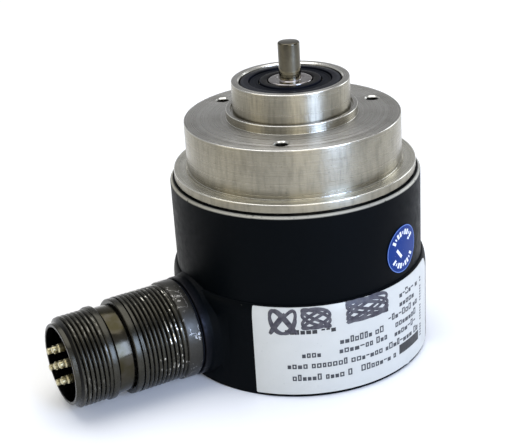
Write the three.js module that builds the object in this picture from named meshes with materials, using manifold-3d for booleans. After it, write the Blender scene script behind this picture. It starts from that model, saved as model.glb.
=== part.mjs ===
// A flange-mounted rotary encoder with a side connector, in millimetres.
// The origin is the centre of the rear face and +Z runs along the shaft to its free end.
import * as THREE from "three";
import { mergeVertices } from "three/addons/utils/BufferGeometryUtils.js";
import Module from "manifold-3d";

const wasm = await Module();
wasm.setup();

// Clear space between touching pieces, and the usual edge chamfer.
const GAP = 0.3;
const CHAMFER = 0.4;

// Housing: a step near its middle joins a wider rear part to the front part.
const REAR_RADIUS = 36.4;
const FRONT_RADIUS = 35.07;
const HOUSING_BORE = 33.0;
const HOUSING_TOP = 52.6;
const HOUSING_TOP_CHAMFER = 0.7;
const STEP_LOW = 23.3;
const STEP_HIGH = 27.5;
const COVER_SEAT_RADIUS = 34.3;
const COVER_SEAT_DEPTH = 4.3;
const COVER_THICKNESS = 4.0;
const COVER_COUNTERBORE = { clearance: 0.35, depth: 2.5 };

// Flange: mounting rim, 60 mm pilot, and a boss round the front bearing.
const RIM_RADIUS = 33.76;
const RIM_LOW = 52.9;
const RIM_HIGH = 55.4;
const PILOT_RADIUS = 30.0;
const PILOT_HIGH = 68.8;
const PILOT_RELIEF = { width: 0.5, depth: 0.3, high: 1 };
const REGISTER_RADIUS = 18.2;
const REGISTER_HIGH = 71.2;
const REGISTER_GROOVE = { width: 0.75, depth: 1 };
const BOSS_RADIUS = 16.25;
const BOSS_HIGH = 79.0;
const SPIGOT_RADIUS = 32.7;
const SPIGOT_BORE = 29.5;
const SPIGOT_LOW = 42.0;
const FLANGE_CAVITY_HIGH = 54.0;
const FLANGE_HUB_RADIUS = 16.6;
const FLANGE_HUB_LOW = 50.0;
const MOUNTING_HOLES = { count: 3, circle: 24.7, first: 20.6, radius: 1.9, depth: 10, sink: 0.6 };
const ORING = { radius: 32.3, wire: 0.55, low: 46.0, high: 48.0, groove: 31.6 };

// Tie screws run from the rear cover into the flange.
const TIE = { count: 3, circle: 28.9, first: 27, radius: 1.5, head: 2.75, low: 0.5, high: 50 };
const TIE_HEAD = { height: 1.7, socket: 1.2, socketDepth: 1.2 };
const TIE_BOSS_RADIUS = 2.65;

// Shaft and its two 12 x 28 x 8 ball bearings.
const SHAFT_END = 89.0;
const SHAFT_TIP_RADIUS = 3.0;
const SHAFT_SHOULDER = 78.7;
const SHAFT_RADIUS = 6.0;
const COLLAR_RADIUS = 7.2;
const HUB_SEAT_RADIUS = 4.0;
const HUB_SEAT_HIGH = 49.2;
const SHAFT_LOW = 37.0;
const BEARING = { bore: 6.25, inner: 8.4, outer: 11.5, rim: 13.85, half: 4, pitch: 10, race: 2.48 };
const BALL = { radius: 2.3, count: 7, pocket: 2.5 };
const TRACK_REACH = 1.9;
const CAGE = { inner: 9.3, outer: 10.7, below: 0.9, above: 2.9 };
const BEARING_SEAL = { inner: 8.75, outer: 11.2, low: 77.7, high: 78.2 };
const FRONT_BEARING = 74.6;
const REAR_BEARING = 57.2;
const BEARING_SEAT_RADIUS = 14.1;
const BEARING_SHOULDER_RADIUS = 12.4;
const SPRING_SEAT = 62.6;
const WAVE_SPRING = { inner: 11.9, outer: 13.6, thick: 0.3, rise: 0.18, waves: 4 };
const CIRCLIP = { inner: 5.6, outer: 7.6, thick: 0.9, from: 25, to: 335 };
const CIRCLIP_GROOVE = { radius: 5.3, below: 1.5, width: 1.3 };

// Code disc on its hub, and the electronics that read it.
const DISC = { radius: 21.2, bore: 6.3, low: 46.2, high: 47.2 };
const HUB = { bore: 4.25, neck: 7.6, flange: 9.5, low: 38.5, step: 44, high: 48.2 };
const HUB_SCREW = { radius: 1.0, hole: 1.3, from: 4.4, to: 7.8, socket: 0.5, socketFrom: 6.8, height: 41.2 };
const CLAMP = { radius: 9.3, thick: 1.1 };
const BOARD = { radius: 26.8, low: 31.0, high: 32.6 };
const STANDOFF = { count: 3, circle: 24.0, first: 87, radius: 2.3, stud: 1.2, low: 29.5, high: 53.6 };
const HEADER = { circle: 10, halfLength: 7, halfWidth: 3, low: 24.7 };
const BRACKET = { width: 9, foot: 15, inside: 22.2, outside: 24.2, low: 33, footHigh: 34.2, high: 53.4 };
const BRACKET_ARM = { tip: 17.1, low: 51.9 };
const BRACKET_SHELF = { tip: 13, low: 38.6, high: 40 };
const BLOCKS = {
  processor_chip: { from: [2, 4, 29.3], to: [14, 16, 30.7], finish: "plastic" },
  light_source: { from: [17.3, -3, 48.3], to: [21.6, 3, 51.6], finish: "plastic" },
  scanning_mask: { from: [14, -3.5, 41.8], to: [21.4, 3.5, 43.6], finish: "glass" },
  sensor_board: { from: [13.4, -4.2, 40.3], to: [21.9, 4.2, 41.5], finish: "board" },
};

// Side connector: distances along its own axis, measured from the shaft axis.
const CONNECTOR_AZIMUTH = 208;
const CONNECTOR_HEIGHT = 14.3;
const SIDE_BOSS = { radius: 14.1, high: 38.6, bore: 9.9 };
const GASKET = { inner: 10.2, outer: 13.5, low: 38.75, high: 39.1 };
const ADAPTER = { low: 30.5, collar: 39.3, thread: 44.0, high: 58.4, radius: 13.95, crest: 13.5 };
const ADAPTER_END = { low: 56.5, radius: 13.4 };
const ADAPTER_BORE = { tail: 8.2, tailOutside: 9.6, socket: 11.7, socketLow: 45.2 };
const SHELL = { low: 45.6, barrel: 58.7, thread: 65.2, nose: 73.7, high: 75.2, radius: 12.1, crest: 12.6 };
const SHELL_RING = { low: 63.4, radius: 13.0 };
const SHELL_BORE = { tail: 9.6, tailOutside: 11.4, mouth: 10.4, mouthLow: 62, noseRadius: 11.3 };
const INSERT = { low: 50, step: 62.3, high: 66.5, body: 9.3, rim: 10.1 };
const THREAD_PITCH = 1.27;
const THREAD_DEPTH = 0.6;
const CONTACT = { count: 7, circle: 5.0, low: 47, step: 75.1, high: 77, radius: 1.2, pin: 0.88 };
const LEADS = { radius: 2.6, steps: 16 };

// Stickers on the housing.
const LABEL = { from: -113.3, to: -17, low: 1.0, high: 27.1, gap: 0.1, thick: 0.25 };
const SEAL_MARK = { azimuth: -39.4, height: 35.9, radius: 6.75, gap: 0.12, thick: 0.25 };

// Facets round large, middle and small turned parts.
const LARGE = 36;
const MIDDLE = 20;
const SMALL = 10;

// How far a cutting solid runs past the faces that it opens.
const PAST = 1;

const rad = THREE.MathUtils.degToRad;
const encoder = new THREE.Group();
const connector = new THREE.Group();
connector.position.z = CONNECTOR_HEIGHT;
connector.rotation.set(0, Math.PI / 2, rad(CONNECTOR_AZIMUTH), "ZYX");
encoder.add(connector);

const finishes = {
  aluminium: { color: 0xb9bab8, roughness: 0.35, metalness: 1 },
  steel: { color: 0x9a9c9e, roughness: 0.3, metalness: 1 },
  blackPaint: { color: 0x0b0f13, roughness: 0.45, metalness: 0 },
  olive: { color: 0x3e3c33, roughness: 0.5, metalness: 0.8 },
  rubber: { color: 0x101010, roughness: 0.85, metalness: 0 },
  gold: { color: 0xc9b068, roughness: 0.35, metalness: 1 },
  board: { color: 0x14532a, roughness: 0.5, metalness: 0 },
  plastic: { color: 0x15161a, roughness: 0.55, metalness: 0 },
  glass: { color: 0xbfd0d4, roughness: 0.08, metalness: 0 },
  brass: { color: 0xb08d3e, roughness: 0.4, metalness: 1 },
  nylon: { color: 0x8f8a72, roughness: 0.6, metalness: 0 },
  paper: { color: 0xdfe4ec, roughness: 0.5, metalness: 0 },
  blueFilm: { color: 0x1c3f9e, roughness: 0.4, metalness: 0 },
};

function place(name, geometry, finish, parent = encoder) {
  const mesh = new THREE.Mesh(geometry, new THREE.MeshStandardMaterial(finishes[finish]));
  mesh.name = name;
  parent.add(mesh);
}

// A turned part: [radius, height] pairs taken round +Z, always facing out.
function turned(profile, sides) {
  const area = profile.reduce((sum, [r, z], i) => {
    const [nextR, nextZ] = profile[(i + 1) % profile.length];
    return sum + r * nextZ - nextR * z;
  }, 0);
  const loop = area > 0 ? [...profile] : [...profile].reverse();
  const onAxis = ([r]) => r === 0;
  if (loop.some(onAxis)) {
    while (!(onAxis(loop[0]) && onAxis(loop[loop.length - 1]))) loop.push(loop.shift());
  } else {
    loop.push(loop[0]);
  }
  const points = loop.map(([r, z]) => new THREE.Vector2(r, z));
  return new THREE.LatheGeometry(points, sides).rotateX(Math.PI / 2);
}

function ring(inner, outer, low, high, sides = MIDDLE) {
  return turned([[inner, low], [outer, low], [outer, high], [inner, high]], sides);
}

function rod(radius, low, high, sides = SMALL) {
  return turned([[0, low], [radius, low], [radius, high], [0, high]], sides);
}

// The two points of a chamfered outside edge at the low or high end of a turned surface.
function edge(radius, z, size, end) {
  if (end === "low") return [[radius - size, z], [radius, z + size]];
  return [[radius, z - size], [radius - size, z]];
}

function block(from, to) {
  const size = to.map((value, i) => value - from[i]);
  const middle = to.map((value, i) => (value + from[i]) / 2);
  return new THREE.BoxGeometry(...size).translate(...middle);
}

function polar(radius, degrees, z = 0) {
  return new THREE.Vector3(radius * Math.cos(rad(degrees)), radius * Math.sin(rad(degrees)), z);
}

function spread({ count, circle, first = 0 }) {
  const around = (i) => polar(circle, first + (360 * i) / count);
  return Array.from({ length: count }, (_, i) => around(i));
}

function moved(geometry, { x, y, z }) {
  return geometry.clone().translate(x, y, z);
}

function solid(geometry) {
  const bare = new THREE.BufferGeometry();
  const flat = geometry.index ? geometry.toNonIndexed() : geometry;
  bare.setAttribute("position", flat.getAttribute("position"));
  const merged = mergeVertices(bare, 1e-3);
  const vertProperties = merged.attributes.position.array;
  const triVerts = new Uint32Array(merged.index.array);
  return new wasm.Manifold(new wasm.Mesh({ numProp: 3, vertProperties, triVerts }));
}

function geometryOf(manifold) {
  const mesh = manifold.getMesh();
  const geometry = new THREE.BufferGeometry();
  geometry.setAttribute("position", new THREE.BufferAttribute(mesh.vertProperties, 3));
  geometry.setIndex(new THREE.BufferAttribute(mesh.triVerts, 1));
  geometry.computeVertexNormals();
  return geometry;
}

function joined(base, additions) {
  return additions.reduce((whole, piece) => whole.add(solid(piece)), base);
}

function cut(base, cutters) {
  return cutters.reduce((whole, piece) => whole.subtract(solid(piece)), base);
}

function onConnectorAxis(geometry) {
  connector.updateMatrixWorld();
  return geometry.clone().applyMatrix4(connector.matrix);
}

function threadRidges(low, high, crest) {
  const count = Math.floor((high - low) / THREAD_PITCH);
  return Array.from({ length: count }, (_, i) => [
    [crest - THREAD_DEPTH, low + i * THREAD_PITCH],
    [crest, low + (i + 0.5) * THREAD_PITCH],
  ]).flat();
}

function flange() {
  const outside = [
    ...edge(SPIGOT_RADIUS, SPIGOT_LOW, GAP, "low"),
    [SPIGOT_RADIUS, ORING.low], [ORING.groove, ORING.low],
    [ORING.groove, ORING.high], [SPIGOT_RADIUS, ORING.high], [SPIGOT_RADIUS, RIM_LOW],
    ...edge(RIM_RADIUS, RIM_LOW, CHAMFER, "low"), ...edge(RIM_RADIUS, RIM_HIGH, CHAMFER, "high"),
    ...pilotRelief(), ...edge(PILOT_RADIUS, PILOT_HIGH, CHAMFER, "high"),
    [REGISTER_RADIUS, PILOT_HIGH], ...edge(REGISTER_RADIUS, REGISTER_HIGH, GAP, "high"),
    ...registerGroove(), ...edge(BOSS_RADIUS, BOSS_HIGH, CHAMFER, "high"),
  ];
  const shoulder = FRONT_BEARING - BEARING.half;
  const inside = [
    [BEARING_SEAT_RADIUS + CHAMFER, BOSS_HIGH], [BEARING_SEAT_RADIUS, BOSS_HIGH - CHAMFER],
    [BEARING_SEAT_RADIUS, shoulder], [BEARING_SHOULDER_RADIUS, shoulder],
    [BEARING_SHOULDER_RADIUS, SPRING_SEAT], [BEARING_SEAT_RADIUS, SPRING_SEAT],
    [BEARING_SEAT_RADIUS, FLANGE_HUB_LOW], [FLANGE_HUB_RADIUS, FLANGE_HUB_LOW],
    [FLANGE_HUB_RADIUS, FLANGE_CAVITY_HIGH], [SPIGOT_BORE, FLANGE_CAVITY_HIGH],
  ];
  const body = solid(turned([[SPIGOT_BORE, SPIGOT_LOW], ...outside, ...inside], LARGE));
  const boss = rod(TIE_BOSS_RADIUS, SPIGOT_LOW + CHAMFER, FLANGE_CAVITY_HIGH + GAP);
  const bore = rod(TIE.radius + GAP, SPIGOT_LOW - PAST, TIE.high + PAST);
  const bossed = joined(body, spread(TIE).map((at) => moved(boss, at)));
  const holes = [
    ...spread(TIE).map((at) => moved(bore, at)),
    ...spread(MOUNTING_HOLES).map((at) => moved(tappedHole(), at)),
  ];
  return geometryOf(cut(bossed, holes));
}

function pilotRelief() {
  const { width, depth, high } = PILOT_RELIEF;
  return [
    [PILOT_RADIUS + width, RIM_HIGH], [PILOT_RADIUS - depth, RIM_HIGH - depth],
    [PILOT_RADIUS - depth, RIM_HIGH + high - depth], [PILOT_RADIUS, RIM_HIGH + high],
  ];
}

function registerGroove() {
  const { width, depth } = REGISTER_GROOVE;
  const low = REGISTER_HIGH - depth;
  return [[BOSS_RADIUS + width, REGISTER_HIGH], [BOSS_RADIUS + width, low], [BOSS_RADIUS, low]];
}

function tappedHole() {
  const { radius, depth, sink } = MOUNTING_HOLES;
  const low = PILOT_HIGH - depth;
  return turned([
    [0, low], [radius, low], [radius, PILOT_HIGH - CHAMFER],
    [radius + sink, PILOT_HIGH + sink - CHAMFER], [0, PILOT_HIGH + sink - CHAMFER],
  ], SMALL);
}

// Outline of the housing's step: a quarter-round slope between its two radii, from low to high.
function stepSlope(points = 4) {
  return Array.from({ length: points + 1 }, (_, i) => {
    const turn = (Math.PI / 2) * (i / points);
    return [
      FRONT_RADIUS + (REAR_RADIUS - FRONT_RADIUS) * Math.cos(turn),
      STEP_LOW + (STEP_HIGH - STEP_LOW) * Math.sin(turn),
    ];
  });
}

function housing() {
  const shell = solid(turned([
    [COVER_SEAT_RADIUS, 0], ...edge(REAR_RADIUS, 0, CHAMFER, "low"), ...stepSlope(),
    ...edge(FRONT_RADIUS, HOUSING_TOP, HOUSING_TOP_CHAMFER, "high"),
    [HOUSING_BORE, HOUSING_TOP], [HOUSING_BORE, COVER_SEAT_DEPTH],
    [COVER_SEAT_RADIUS, COVER_SEAT_DEPTH],
  ], LARGE));
  const middleOfWall = (HOUSING_BORE + REAR_RADIUS) / 2;
  const outsideBore = rod(middleOfWall, -PAST, HOUSING_TOP, LARGE);
  const bossRod = onConnectorAxis(rod(SIDE_BOSS.radius, ADAPTER.low, SIDE_BOSS.high, MIDDLE));
  const boss = cut(solid(bossRod), [outsideBore]);
  const entry = onConnectorAxis(rod(SIDE_BOSS.bore, ADAPTER.low - 6 * PAST, SIDE_BOSS.high + PAST, MIDDLE));
  return geometryOf(cut(shell.add(boss), [entry]));
}

function rearCover() {
  const radius = COVER_SEAT_RADIUS - GAP;
  const plate = turned([
    [0, 0], ...edge(radius, 0, CHAMFER, "low"), [radius, COVER_THICKNESS], [0, COVER_THICKNESS],
  ], LARGE);
  const { clearance, depth } = COVER_COUNTERBORE;
  const counterbore = turned([
    [0, -PAST], [TIE.head + clearance, -PAST], [TIE.head + clearance, depth], [TIE.radius + GAP, depth],
    [TIE.radius + GAP, COVER_THICKNESS + PAST], [0, COVER_THICKNESS + PAST],
  ], SMALL);
  return geometryOf(cut(solid(plate), spread(TIE).map((at) => moved(counterbore, at))));
}

function tieScrew() {
  const headHigh = TIE.low + TIE_HEAD.height;
  const screw = turned([
    [0, TIE.low], [TIE.head, TIE.low], [TIE.head, headHigh], [TIE.radius, headHigh],
    [TIE.radius, TIE.high], [0, TIE.high],
  ], SMALL);
  const socket = rod(TIE_HEAD.socket, TIE.low - PAST, TIE.low + TIE_HEAD.socketDepth, 6);
  return cut(solid(screw), [socket]);
}

// A closed ring of wire, round in section.
function wireRing(radius, wire, z, sides = LARGE, facets = 6) {
  return turned(Array.from({ length: facets }, (_, i) => {
    const turn = (2 * Math.PI * i) / facets;
    return [radius + wire * Math.cos(turn), z + wire * Math.sin(turn)];
  }), sides);
}

// The ball track in a bearing ring: side is -1 on the inner ring and 1 on the outer ring.
function track(centre, side) {
  return [-1, -0.5, 0, 0.5, 1].map((share) => {
    const dz = share * TRACK_REACH;
    return [BEARING.pitch + side * Math.sqrt(BEARING.race ** 2 - dz ** 2), centre + dz];
  });
}

function outerRing(centre) {
  const { outer, rim, half } = BEARING;
  return turned([
    [outer, centre - half], [rim, centre - half], [rim, centre + half], [outer, centre + half],
    ...track(centre, 1).reverse(),
  ], MIDDLE);
}

function innerRing(centre) {
  const { bore, inner, half } = BEARING;
  return turned([
    [bore + CHAMFER, centre - half], [inner, centre - half], ...track(centre, -1),
    [inner, centre + half], [bore + CHAMFER, centre + half],
    [bore, centre + half - CHAMFER], [bore, centre - half + CHAMFER],
  ], MIDDLE);
}

function ballPlaces(centre) {
  return spread({ count: BALL.count, circle: BEARING.pitch }).map((at) => at.setZ(centre));
}

function cage(centre) {
  const band = solid(ring(CAGE.inner, CAGE.outer, centre - CAGE.below, centre + CAGE.above));
  const pocket = new THREE.SphereGeometry(BALL.pocket, 8, 6);
  return geometryOf(cut(band, ballPlaces(centre).map((at) => moved(pocket, at))));
}

function bearing(name, centre) {
  place(`${name}_bearing_outer_ring`, outerRing(centre), "steel");
  place(`${name}_bearing_inner_ring`, innerRing(centre), "steel");
  place(`${name}_bearing_cage`, cage(centre), "nylon");
  ballPlaces(centre).forEach((at, i) => {
    const ball = new THREE.SphereGeometry(BALL.radius, 8, 6).rotateX(Math.PI / 2);
    place(`${name}_ball_${i + 1}`, moved(ball, at), "steel");
  });
}

function waveSpring() {
  const { inner, outer, thick, rise, waves } = WAVE_SPRING;
  const low = REAR_BEARING + BEARING.half + CHAMFER;
  const geometry = ring(inner, outer, low, low + thick);
  const position = geometry.getAttribute("position");
  for (let i = 0; i < position.count; i += 1) {
    const turn = Math.atan2(position.getY(i), position.getX(i));
    position.setZ(i, position.getZ(i) + rise * (1 + Math.cos(waves * turn)));
  }
  return geometry;
}

function shaft() {
  const groove = CIRCLIP_GROOVE;
  const grooveLow = REAR_BEARING - BEARING.half - groove.below;
  const grooveHigh = grooveLow + groove.width;
  const collarLow = REAR_BEARING + BEARING.half + CHAMFER;
  const collarHigh = FRONT_BEARING - BEARING.half - CHAMFER;
  return turned([
    [0, SHAFT_LOW], ...edge(HUB_SEAT_RADIUS, SHAFT_LOW, CHAMFER, "low"),
    [HUB_SEAT_RADIUS, HUB_SEAT_HIGH], [SHAFT_RADIUS, HUB_SEAT_HIGH],
    [SHAFT_RADIUS, grooveLow], [groove.radius, grooveLow],
    [groove.radius, grooveHigh], [SHAFT_RADIUS, grooveHigh], [SHAFT_RADIUS, collarLow],
    [COLLAR_RADIUS, collarLow], [COLLAR_RADIUS, collarHigh], [SHAFT_RADIUS, collarHigh],
    ...edge(SHAFT_RADIUS, SHAFT_SHOULDER, CHAMFER, "high"),
    [SHAFT_TIP_RADIUS + CHAMFER, SHAFT_SHOULDER], [SHAFT_TIP_RADIUS, SHAFT_SHOULDER + CHAMFER],
    ...edge(SHAFT_TIP_RADIUS, SHAFT_END, CHAMFER, "high"), [0, SHAFT_END],
  ], MIDDLE);
}

// An open ring with flat sides, from one azimuth to another.
function openRing(inner, outer, low, high, from, to, sides) {
  const shape = new THREE.Shape();
  shape.absarc(0, 0, outer, rad(from), rad(to), false);
  shape.absarc(0, 0, inner, rad(to), rad(from), true);
  const options = { depth: high - low, bevelEnabled: false, curveSegments: sides };
  return new THREE.ExtrudeGeometry(shape, options).translate(0, 0, low);
}

function circlip() {
  const { inner, outer, thick, from, to } = CIRCLIP;
  const grooveMiddle = REAR_BEARING - BEARING.half - CIRCLIP_GROOVE.below + CIRCLIP_GROOVE.width / 2;
  const low = grooveMiddle - thick / 2;
  return openRing(inner, outer, low, low + thick, from, to, 16);
}

function discHub() {
  const { bore, neck, flange: wide, low, step, high } = HUB;
  const seat = DISC.low - GAP;
  const hub = turned([
    [bore, low], [neck, low], [neck, step], [wide, step], [wide, seat],
    [DISC.bore - GAP, seat], [DISC.bore - GAP, high], [bore, high],
  ], MIDDLE);
  const screwHole = alongX(rod(HUB_SCREW.hole, 0, wide), HUB_SCREW.height);
  return geometryOf(cut(solid(hub), [screwHole]));
}

function hubScrew() {
  const { radius, from, to, socket, socketFrom, height } = HUB_SCREW;
  const screw = cut(solid(rod(radius, from, to)), [rod(socket, socketFrom, to + PAST, 6)]);
  return alongX(geometryOf(screw), height);
}

// Lays a piece made round +Z along +X, at a height.
function alongX(geometry, height) {
  return geometry.rotateY(Math.PI / 2).translate(0, 0, height);
}

function mainBoard() {
  const outline = new THREE.Shape().absarc(0, 0, BOARD.radius, 0, 2 * Math.PI);
  outline.holes = spread(STANDOFF).map(({ x, y }) =>
    new THREE.Path().absarc(x, y, STANDOFF.stud + GAP, 0, 2 * Math.PI, true));
  const options = { depth: BOARD.high - BOARD.low, bevelEnabled: false, curveSegments: 10 };
  return new THREE.ExtrudeGeometry(outline, options).translate(0, 0, BOARD.low);
}

function standoff() {
  return turned([
    [0, STANDOFF.low], [STANDOFF.stud, STANDOFF.low], [STANDOFF.stud, BOARD.high + GAP],
    [STANDOFF.radius, BOARD.high + GAP], [STANDOFF.radius, STANDOFF.high], [0, STANDOFF.high],
  ], 6);
}

// The bracket stands on the board and reaches over and under the rim of the code disc.
function sensorBracket() {
  const { width, foot, inside, outside, low, footHigh, high } = BRACKET;
  const arm = BRACKET_ARM;
  const shelf = BRACKET_SHELF;
  const outline = new THREE.Shape([
    [foot, low], [outside, low], [outside, high], [arm.tip, high], [arm.tip, arm.low], [inside, arm.low],
    [inside, shelf.high], [shelf.tip, shelf.high], [shelf.tip, shelf.low], [inside, shelf.low],
    [inside, footHigh], [foot, footHigh],
  ].map(([r, z]) => new THREE.Vector2(r, z)));
  const profile = new THREE.ExtrudeGeometry(outline, { depth: width, bevelEnabled: false });
  return profile.rotateX(Math.PI / 2).translate(0, width / 2, 0);
}

// The leads run from the contacts through the side boss and up to the header on the board.
function leadBundle() {
  const out = (s, z) => polar(s, CONNECTOR_AZIMUTH, z);
  const route = new THREE.CatmullRomCurve3([
    out(46.4, CONNECTOR_HEIGHT), out(36, CONNECTOR_HEIGHT), out(27, CONNECTOR_HEIGHT - 1),
    out(17, 12.5), out(10.5, 17), out(10, 24.3),
  ]);
  const section = new THREE.Shape().absarc(0, 0, LEADS.radius, 0, 2 * Math.PI);
  return new THREE.ExtrudeGeometry(section, { steps: LEADS.steps, curveSegments: 4, extrudePath: route });
}

function boardHeader() {
  const { circle, halfLength, halfWidth, low } = HEADER;
  const at = polar(circle, CONNECTOR_AZIMUTH);
  const from = [at.x - halfLength, at.y - halfWidth, low];
  return block(from, [at.x + halfLength, at.y + halfWidth, BOARD.low - GAP]);
}

function connectorAdapter() {
  const { low, collar, thread, high, radius, crest } = ADAPTER;
  const { tail, tailOutside, socket, socketLow } = ADAPTER_BORE;
  return turned([
    [tail, low], [tailOutside, low], [tailOutside, collar], ...edge(radius, collar, CHAMFER, "low"),
    ...edge(radius, thread - GAP, CHAMFER, "high"),
    ...threadRidges(thread, ADAPTER_END.low, crest), [crest - THREAD_DEPTH, ADAPTER_END.low - GAP],
    [ADAPTER_END.radius, ADAPTER_END.low], ...edge(ADAPTER_END.radius, high, GAP, "high"),
    [socket, high], [socket, socketLow], [tail, socketLow],
  ], MIDDLE);
}

function connectorShell() {
  const { low, barrel, thread, nose, high, radius, crest } = SHELL;
  const { tail, tailOutside, mouth, mouthLow, noseRadius } = SHELL_BORE;
  return turned([
    [tail, low], [tailOutside, low], [tailOutside, barrel], [radius, barrel],
    [radius, SHELL_RING.low - GAP], [SHELL_RING.radius, SHELL_RING.low],
    ...edge(SHELL_RING.radius, thread, GAP, "high"), ...threadRidges(thread, nose, crest),
    [noseRadius, nose], [noseRadius, high],
    [mouth, high], [mouth, mouthLow], [tail, mouthLow],
  ], MIDDLE);
}

function contactPlaces() {
  const circle = spread({ count: CONTACT.count - 1, circle: CONTACT.circle });
  return [new THREE.Vector3(), ...circle];
}

function connectorInsert() {
  const { low, step, high, body: bodyRadius, rim } = INSERT;
  const body = turned([
    [0, low], [bodyRadius, low], [bodyRadius, step], [rim, step], [rim, high], [0, high],
  ], MIDDLE);
  const hole = rod(CONTACT.radius + GAP, low - PAST, high + PAST);
  return geometryOf(cut(solid(body), contactPlaces().map((at) => moved(hole, at))));
}

function contact() {
  const { low, step, high, radius, pin } = CONTACT;
  return turned([
    [0, low], [radius, low], [radius, step], [pin, step + GAP],
    ...edge(pin, high, CHAMFER, "high"), [0, high],
  ], 8);
}

// A thin full ring that stands off an outline of the housing by a gap.
function sheetOver(skin, gap, thick) {
  const offset = (amount) => skin.map(([r, z]) => [r + amount, z]);
  return solid(turned([...offset(gap + thick), ...offset(gap).reverse()], LARGE));
}

// The label runs up the housing's rear part and onto its step.
function label() {
  const { from, to, low, high, gap, thick } = LABEL;
  const sheet = sheetOver([[REAR_RADIUS, low - PAST], ...stepSlope()], gap, thick);
  const sector = openRing(HOUSING_BORE, REAR_RADIUS + 2 * PAST, low, high, from, to, 24);
  return geometryOf(sheet.intersect(solid(sector)));
}

function sealMark() {
  const { azimuth, height, radius, gap, thick } = SEAL_MARK;
  const reach = radius + PAST;
  const sheet = sheetOver([[FRONT_RADIUS, height - reach], [FRONT_RADIUS, height + reach]], gap, thick);
  const punch = rod(radius, HOUSING_BORE, REAR_RADIUS + 2 * PAST, MIDDLE);
  const placed = punch.rotateY(Math.PI / 2).rotateZ(rad(azimuth)).translate(0, 0, height);
  return geometryOf(sheet.intersect(solid(placed)));
}

place("flange", flange(), "aluminium");
place("housing", housing(), "blackPaint");
place("rear_cover", rearCover(), "blackPaint");
spread(TIE).forEach((at, i) => {
  place(`tie_screw_${i + 1}`, moved(geometryOf(tieScrew()), at), "steel");
});
place("flange_o_ring", wireRing(ORING.radius, ORING.wire, (ORING.low + ORING.high) / 2), "rubber");

bearing("front", FRONT_BEARING);
bearing("rear", REAR_BEARING);
const { inner: sealBore, outer: sealRim, low: sealLow, high: sealHigh } = BEARING_SEAL;
place("front_bearing_seal", ring(sealBore, sealRim, sealLow, sealHigh), "rubber");
place("wave_spring", waveSpring(), "steel");
place("shaft", shaft(), "steel");
place("shaft_circlip", circlip(), "steel");
place("disc_hub", discHub(), "aluminium");
place("code_disc", ring(DISC.bore, DISC.radius, DISC.low, DISC.high, LARGE), "glass");
const clampLow = DISC.high + GAP;
place("disc_clamp_ring", ring(DISC.bore, CLAMP.radius, clampLow, clampLow + CLAMP.thick), "brass");
place("hub_set_screw", hubScrew(), "steel");

place("main_board", mainBoard(), "board");
spread(STANDOFF).forEach((at, i) => {
  place(`board_standoff_${i + 1}`, moved(standoff(), at), "brass");
});
place("board_header", boardHeader(), "plastic");
place("sensor_bracket", sensorBracket(), "aluminium");
for (const [name, { from, to, finish }] of Object.entries(BLOCKS)) {
  place(name, block(from, to), finish);
}
place("lead_bundle", leadBundle(), "plastic");

place("connector_gasket", ring(GASKET.inner, GASKET.outer, GASKET.low, GASKET.high), "rubber", connector);
place("connector_adapter", connectorAdapter(), "olive", connector);
place("connector_shell", connectorShell(), "olive", connector);
place("connector_insert", connectorInsert(), "plastic", connector);
contactPlaces().forEach((at, i) => {
  place(`contact_${i + 1}`, moved(contact(), at), "gold", connector);
});
place("label", label(), "paper");
place("inspection_seal", sealMark(), "blueFilm");

export default encoder;
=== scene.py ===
"""Looks for the rotary encoder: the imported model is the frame, and every visible piece is remade finely.

Lengths in the piece functions are millimetres in the encoder's own frame: the origin is the centre of
the rear face and +Z runs along the shaft. MM turns them into metres.
"""
import math
import random

import bmesh
import bpy
from mathutils import Matrix, Vector


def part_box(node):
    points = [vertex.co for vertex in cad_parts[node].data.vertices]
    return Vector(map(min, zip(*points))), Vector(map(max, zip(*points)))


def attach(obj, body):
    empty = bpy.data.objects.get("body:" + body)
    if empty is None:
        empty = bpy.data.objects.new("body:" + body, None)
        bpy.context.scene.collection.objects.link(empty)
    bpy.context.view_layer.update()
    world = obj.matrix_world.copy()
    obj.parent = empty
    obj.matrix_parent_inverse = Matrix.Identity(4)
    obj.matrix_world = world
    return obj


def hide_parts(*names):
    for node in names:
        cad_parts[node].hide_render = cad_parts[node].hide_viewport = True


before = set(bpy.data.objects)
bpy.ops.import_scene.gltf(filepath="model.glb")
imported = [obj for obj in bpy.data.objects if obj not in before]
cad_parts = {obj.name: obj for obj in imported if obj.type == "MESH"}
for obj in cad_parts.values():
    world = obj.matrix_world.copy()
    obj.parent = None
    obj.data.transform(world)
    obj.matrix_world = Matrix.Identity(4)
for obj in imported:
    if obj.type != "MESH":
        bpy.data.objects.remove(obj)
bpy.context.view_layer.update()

MM = 0.001
TURN = 2 * math.pi
FINE = 192  # facets round a large turned piece
MEDIUM = 96
SHARP_ANGLE = math.radians(32)

# The side connector: where it points, and its stations and thread crests along and from its own axis.
CONNECTOR_AZIMUTH = 208
CONNECTOR_HEIGHT = 14.3
COLLAR, REAR_THREAD, BARREL, FRONT_THREAD = (39, 43.7), (43.7, 56.5), (58.9, 63), (65.2, 74)
REAR_CREST, FRONT_CREST = 13.5, 12.6
THREAD_PITCH, THREAD_DEPTH = 1.27, 0.75

# Heights and radii that several pieces share.
STEP_LOW, STEP_HIGH = 23.3, 27.5
REAR_RADIUS, FRONT_RADIUS = 36.4, 35.07
HOUSING_TOP, HOUSING_SHOULDER = 52.6, 51.9
FRONT_BEARING, REAR_BEARING = 74.6, 57.2
PILOT_TOP = 68.8
SHAFT_SHOULDER = 78.7
BOARD_LOW, BOARD_HIGH = 31.0, 32.6

# ------------ camera, floor and lights

CAMERA_TARGET = (-11.83, 0, 36.22)
CAMERA_DISTANCE = 344.7
CAMERA_ELEVATION = math.radians(23.68)
CAMERA_ROLL = math.radians(-3.69)
CAMERA_LENS = 84.57


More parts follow.
